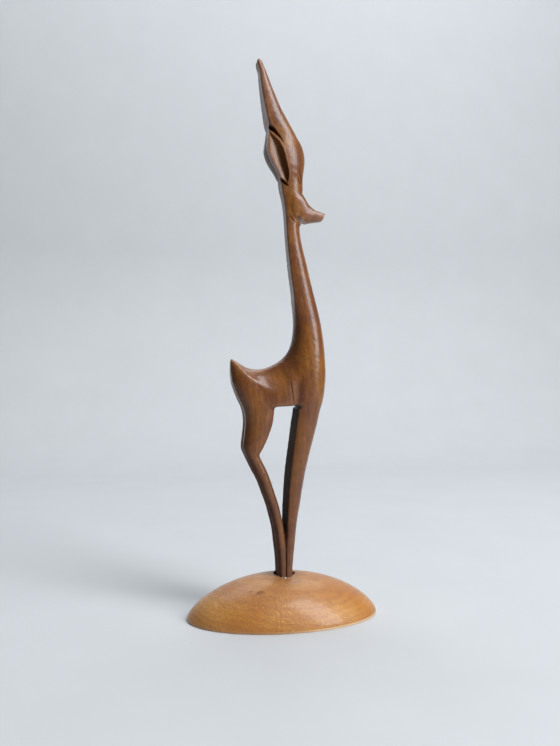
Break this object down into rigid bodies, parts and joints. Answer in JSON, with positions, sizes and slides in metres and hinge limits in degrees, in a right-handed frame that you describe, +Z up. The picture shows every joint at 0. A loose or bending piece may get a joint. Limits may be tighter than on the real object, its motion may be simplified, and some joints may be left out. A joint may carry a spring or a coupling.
{
  "type": "carved wooden antelope statue",
  "caption": "Slender stylised horned antelope carved from one piece of wood, its joined feet glued in a socket in an oval domed wooden base.",
  "frame": {"origin": "middle of the flat underside of the oval base, on the surface it stands on", "axes": "+X the way the animal faces, along the base's length; +Y its left side; +Z up"},
  "size_m": [0.103, 0.0594, 0.298],
  "materials": {
    "figure_wood": "satin wax polish over fine straight grain, mid to reddish brown",
    "base_wood": "satin wax polish over long oval grain streaks, honey orange",
    "dried_glue": "hard dried wood glue, slightly yellowed"
  },
  "bodies": {
    "root": {"carved_figure": "figure_wood", "domed_base": "base_wood", "glue_seam": "dried_glue"}
  },
  "joints": []
}
